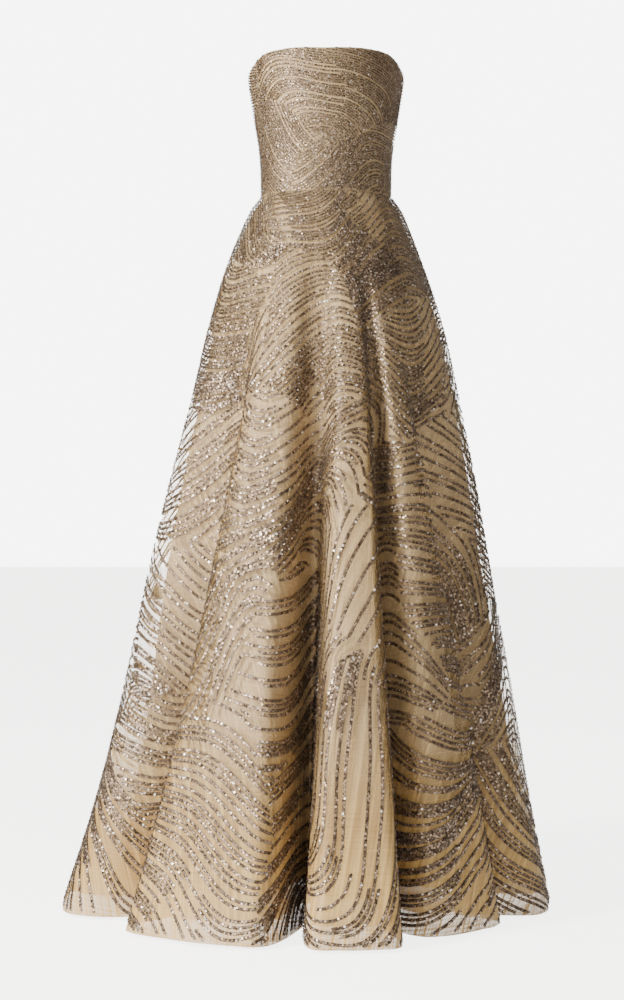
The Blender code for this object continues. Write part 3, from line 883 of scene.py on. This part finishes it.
def metal_material():
    """Worn plated metal of the zip's slider and pull tab."""
    return toned_material("zip_metal", grain(900, 3), METAL_TONES, roughness=(0.24, 0.42), Metallic=0.95)


def tape_material():
    """Tan woven tape."""
    return toned_material("zip_tape_weave", tape_weave, TAPE_TONES, relief=(0.5, 0.0003), Roughness=0.75,
                          Sheen_Weight=0.10)


def coil_material():
    """Tan nylon."""
    return toned_material("zip_coil_nylon", grain(1500, 2), COIL_TONES, roughness=(0.28, 0.40))


def skirt_panel(name, layer, start, end, finish):
    """One panel of a skirt layer, as a fine sheet on its solid's form."""
    turn = column_turns(start, end, layer.columns_per_fold)
    depth = (SKIRT_LENGTH - layer.hem_rise) * np.linspace(0, 1, layer.rows + 1) ** ROW_CROWDING
    points = skirt_point(*np.meshgrid(turn, depth), layer)
    points[0, :, 2] = -WAIST_GAP
    obj = grid_object(name, points, flat_of(points))
    obj.data.materials.append(finish)
    return obj


def bodice_panel(name, start, end, inset, finish):
    """One panel of a bodice layer, from the neckline down to the waist."""
    columns = int((end - start) / DEGREES_PER_COLUMN) + 1
    azimuth = np.linspace(start, end, columns)
    up = np.linspace(1, 0, BODICE_ROWS)[:, None]
    height = WAIST_GAP + up * (neckline(azimuth) - WAIST_GAP)
    points = bodice_point(azimuth + 0 * height, height, inset)
    obj = grid_object(name, points, flat_of(points))
    obj.data.materials.append(finish)
    return obj


def edge_cord(name, points, radius, finish):
    """A fine round cord along an edge: a rolled hem or a bound neckline."""
    curve = bpy.data.curves.new(name, "CURVE")
    curve.dimensions = "3D"
    curve.bevel_depth = radius
    curve.bevel_resolution = 1
    curve.resolution_u = 1
    curve.use_fill_caps = True
    spline = curve.splines.new("POLY")
    spline.points.add(len(points) - 1)
    weighted = np.pad(points, ((0, 0), (0, 1)), constant_values=1)
    spline.points.foreach_set("co", weighted.astype(np.float32).ravel())
    guide = in_scene(name + "_guide", curve)
    mesh = bpy.data.meshes.new_from_object(guide.evaluated_get(bpy.context.evaluated_depsgraph_get()))
    bpy.data.objects.remove(guide)
    mesh.materials.clear()
    mesh.materials.append(finish)
    mesh.polygons.foreach_set("use_smooth", np.full(len(mesh.polygons), True))
    return in_scene(name, mesh)


def place(obj, slot_name, *nodes):
    """Puts a piece on the gown's body and hides the solids that it replaces; slot_name is not used."""
    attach(obj, BODY)
    if nodes:
        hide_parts(*nodes)


def build_skirt():
    cut = build_flat_cut()
    net = sheer_material(*NET_MATERIAL)
    plain = sheer_material(*UNDERSKIRT_MATERIAL)
    opaque = lining_material()
    turn, depth, run = skirt_embroidery(cut)

    def net_point(u, v):
        return skirt_point(u, v, NET)

    points = net_point(turn, depth)
    out = surface_normal(net_point, turn, depth, NORMAL_STEP_TURNS, NORMAL_STEP_DOWN)
    masks = {panel: (turn >= start) & (turn < end) for panel, start, end in SKIRT_PANELS}
    fineness = np.interp(depth, (0, FULL_SIZE_DEPTH), (WAIST_FINENESS, 1))
    work = beadwork("skirt", points, out, run, masks, fineness)
    layers = ((NET, "skirt_net", net, "embroidered_net"), (UNDERSKIRT, "underskirt", plain, "plain_sheer"),
              (LINING, "lining", opaque, "lining_satin"))
    for layer, node, finish, slot_name in layers:
        for panel, start, end in SKIRT_PANELS:
            obj = skirt_panel(f"{node}_{panel}_cloth", layer, start, end, finish)
            place(obj, slot_name, f"{node}_{panel}")
            hem_turn = column_turns(start, end, HEM_CORD_COLUMNS)
            hem = skirt_point(hem_turn, np.full(len(hem_turn), SKIRT_LENGTH - layer.hem_rise), layer)
            raised = hem + np.array((0, 0, CORD_INSET))
            edge = edge_cord(f"{node}_{panel}_hem", raised, HEM_CORD_RADIUS, finish)
            on_it = [edge, *(work[panel] if layer is NET else ())]
            for piece in on_it:
                place(piece, slot_name)


def build_bodice():
    net = sheer_material(*NET_MATERIAL)
    opaque = lining_material()
    azimuth, height, run = bodice_embroidery()
    azimuth = (azimuth + SIDE_SEAM) % 360 - SIDE_SEAM

    def net_point(u, v):
        return bodice_point(u, -v)

    points = net_point(azimuth, -height)
    out = surface_normal(net_point, azimuth, -height, NORMAL_STEP_DEGREES, NORMAL_STEP_DOWN)
    masks = {panel: (azimuth >= start) & (azimuth < end) for panel, start, end in BODICE_PANELS}
    work = beadwork("bodice", points, out, run, masks, np.full(len(run), BODICE_FINENESS))
    for node, inset, finish, slot_name in (("bodice_base", BASE_INSET, opaque, "lining_satin"),
                                           ("bodice_net", 0.0, net, "embroidered_net")):
        for panel, start, end in BODICE_PANELS:
            obj = bodice_panel(f"{node}_{panel}_cloth", start, end, inset, finish)
            place(obj, slot_name, f"{node}_{panel}")
            top_at = np.linspace(start, end, int((end - start) / NECK_CORD_DEGREES) + 1)
            top = bodice_point(top_at, neckline(top_at) - CORD_INSET, inset)
            edge = edge_cord(f"{node}_{panel}_edge", top, NECK_CORD_RADIUS, finish)
            on_it = [edge, *(work[panel] if finish is net else ())]
            for piece in on_it:
                place(piece, slot_name)


# The zip's closed chain: two woven tapes that meet under a coil of crossed loops
TAPE_HALF_WIDTH = 0.0029
TAPE_STEP = 0.004
TAPE_COLUMNS = 5
# The chain's solid has its corners in rows that are farther apart than this
CHAIN_ROW_GAP = 0.004
ACROSS = np.array((1.0, 0.0, 0.0))
LOOP_PITCH = 0.0009
LOOP_WIRE = 0.00030
# Each loop's course, in mm: across from its own tape, and off the tape
LOOP_COURSE = ((2.0, 0.0), (1.5, 0.62), (0.2, 0.80), (-0.5, 0.60), (-0.8, 0.10))
LOOP_LEAN = 0.00035


def zip_course(step):
    """Points up the middle of the chain's solid, with the directions along it and off it to the inside."""
    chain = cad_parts["zip_chain"]
    corners = np.array([chain.matrix_world @ vertex.co for vertex in chain.data.vertices])
    corners = corners[np.argsort(corners[:, 2])]
    rows = np.split(corners, np.flatnonzero(np.diff(corners[:, 2]) > CHAIN_ROW_GAP) + 1)
    middle = np.array([row.mean(axis=0) for row in rows])
    height = np.arange(middle[0, 2], middle[-1, 2], step)
    points = np.stack([0 * height, np.interp(height, middle[:, 2], middle[:, 1]), height], axis=-1)
    ahead = unit(np.gradient(points, axis=0))
    inward = np.cross(ACROSS, ahead)
    return points, ahead, inward * -np.sign(inward[:, 1:2])


def zip_coil(points, ahead, inward):
    """A four-sided wire for each loop, from the left and the right tape in turn."""
    hand = np.where(np.arange(len(points)) % 2 == 0, 1.0, -1.0)[:, None]
    course = np.array(LOOP_COURSE) / 1000
    heading = unit(np.gradient(course, axis=0))
    rings = []
    for i, ((across, off), (run_across, run_off)) in enumerate(zip(course, heading)):
        centre = points + hand * across * ACROSS + inward * off + ahead * LOOP_LEAN * i
        upright = (hand * -run_off * ACROSS + inward * run_across) * LOOP_WIRE
        along = ahead * LOOP_WIRE
        rings.append(np.stack([centre + along, centre + upright, centre - along, centre - upright], axis=1))
    wire = np.stack(rings, axis=1).reshape(-1, 3)
    last = len(course) - 1
    faces = [(4 * i + k, 4 * i + (k + 1) % 4, 4 * i + 4 + (k + 1) % 4, 4 * i + 4 + k)
             for i in range(last) for k in range(4)]
    faces += [(3, 2, 1, 0), (4 * last, 4 * last + 1, 4 * last + 2, 4 * last + 3)]
    loops = 4 * len(course) * np.arange(len(points))[:, None]
    corners = (np.array(faces).ravel()[None, :] + loops).ravel()
    return new_mesh("zip_coil", wire, corners, np.full(len(corners) // 4, 4))


def build_zip():
    for name in ("zip_slider", "zip_pull_tab"):
        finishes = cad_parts[name].data.materials
        finishes.clear()
        finishes.append(metal_material())
    points = zip_course(TAPE_STEP)[0]
    across = np.linspace(-TAPE_HALF_WIDTH, TAPE_HALF_WIDTH, TAPE_COLUMNS)[None, :, None] * ACROSS
    ribbon = points[::-1, None, :] + across
    tape = grid_object("zip_tape", ribbon, flat_of(ribbon))
    tape.data.materials.append(tape_material())
    place(tape, "zip_tape", "zip_chain")
    # The last two loops would stand past the chain's top
    coil = zip_coil(*(rows[:-2] for rows in zip_course(LOOP_PITCH)))
    coil.data.materials.append(coil_material())
    place(coil, "zip_tape")


BACKDROP_COLOUR = (1.0, 0.995, 0.985, 1)
BACKDROP_STRENGTH = 7.0
FILL_COLOUR = (1.0, 0.82, 0.58, 1)
FILL_STRENGTH = 0.04
FLOOR_SIZE = 40
FLOOR_GAP = 0.006
FLOOR_COLOUR = (0.94, 0.935, 0.925, 1)
FLOOR_GLOW_COLOUR = (1.0, 0.99, 0.97, 1)
# The floor is nearly as pale as the backdrop, but throws little light on the gown
FLOOR_GLOW = 0.40
FLOOR_GLOW_SEEN = 4.2

# The photograph's view: a level camera in front of the gown, in pixels of the 624 x 1000 frame
PHOTO_HEIGHT = 1000
PHOTO_WIDTH = 624
AXIS_X = 326
HORIZON_Y = 508
CAMERA_DISTANCE = 3.5
CAMERA_HEIGHT = 0.676  # above the hem
SCALE_AT_AXIS = 580  # pixels for each metre
SENSOR = 36.0


def build_camera():
    camera = bpy.data.cameras.new("photo_camera")
    camera.sensor_width = SENSOR
    camera.lens = SCALE_AT_AXIS * CAMERA_DISTANCE / PHOTO_HEIGHT * SENSOR
    camera.shift_x = (PHOTO_WIDTH / 2 - AXIS_X) / PHOTO_HEIGHT
    camera.shift_y = (HORIZON_Y - PHOTO_HEIGHT / 2) / PHOTO_HEIGHT
    obj = in_scene("photo_camera", camera)
    obj.location = (0, -CAMERA_DISTANCE, CAMERA_HEIGHT - SKIRT_LENGTH)
    obj.rotation_euler = (math.pi / 2, 0, 0)
    bpy.context.scene.camera = obj


def area_light(name, place_at, aim, size, power, colour):
    light = bpy.data.lights.new(name, "AREA")
    light.shape = "RECTANGLE"
    light.size, light.size_y = size
    light.energy = power
    light.color = colour
    obj = in_scene(name, light)
    obj.location = place_at
    direction = np.array(aim, float) - np.array(place_at, float)
    flat_length = math.hypot(direction[0], direction[1])
    obj.rotation_euler = (math.atan2(flat_length, -direction[2]), 0, math.atan2(-direction[0], direction[1]))


def build_world():
    """A near-white backdrop that only the camera sees, and a weak warm fill light."""
    world = bpy.data.worlds.new("studio")
    world.use_nodes = True
    tree = world.node_tree
    backdrop = tree.nodes["Background"]
    backdrop.inputs["Color"].default_value = BACKDROP_COLOUR
    backdrop.inputs["Strength"].default_value = BACKDROP_STRENGTH
    fill = add(tree, "ShaderNodeBackground")
    fill.inputs["Color"].default_value = FILL_COLOUR
    fill.inputs["Strength"].default_value = FILL_STRENGTH
    seen = add(tree, "ShaderNodeLightPath").outputs["Is Camera Ray"]
    mixed = add(tree, "ShaderNodeMixShader")
    tree.links.new(seen, mixed.inputs[0])
    tree.links.new(fill.outputs[0], mixed.inputs[1])
    tree.links.new(backdrop.outputs[0], mixed.inputs[2])
    tree.links.new(mixed.outputs[0], tree.nodes["World Output"].inputs["Surface"])
    bpy.context.scene.world = world


def build_floor():
    bpy.ops.mesh.primitive_plane_add(size=FLOOR_SIZE, location=(0, 0, -SKIRT_LENGTH - FLOOR_GAP))
    floor = bpy.context.active_object
    floor.name = "studio_floor"

    def build(tree):
        shader = tree.nodes["Principled BSDF"]
        shader.inputs["Base Color"].default_value = FLOOR_COLOUR
        shader.inputs["Emission Color"].default_value = FLOOR_GLOW_COLOUR
        seen = add(tree, "ShaderNodeLightPath").outputs["Is Camera Ray"]
        glow = to_range(tree, seen, FLOOR_GLOW, FLOOR_GLOW_SEEN, 0, 1)
        tree.links.new(glow, shader.inputs["Emission Strength"])
        shader.inputs["Roughness"].default_value = 0.9

    floor.data.materials.append(material("studio_floor", build))


def build_lights():
    """A large lamp from the picture's left, a weak one in front, a soft sun overhead and a rim light."""
    area_light("key", place_at=(-3.3, -2.6, 0.95), aim=(0, 0, -0.60), size=(0.8, 1.6), power=435,
               colour=(1.0, 0.955, 0.875))
    area_light("front_fill", place_at=(0.4, -4.4, 0.8), aim=(0, 0, -0.6), size=(1.4, 1.4), power=27,
               colour=(1.0, 0.89, 0.70))
    sun = bpy.data.lights.new("overhead", "SUN")
    sun.energy = 1.5
    sun.angle = 0.9
    in_scene("overhead", sun)
    area_light("rim", place_at=(2.6, 2.2, 1.2), aim=(0, 0, -0.4), size=(1.0, 2.0), power=18,
               colour=(1.0, 0.93, 0.82))


build_camera()
build_bodice()
build_skirt()
build_zip()
build_world()
build_floor()
build_lights()
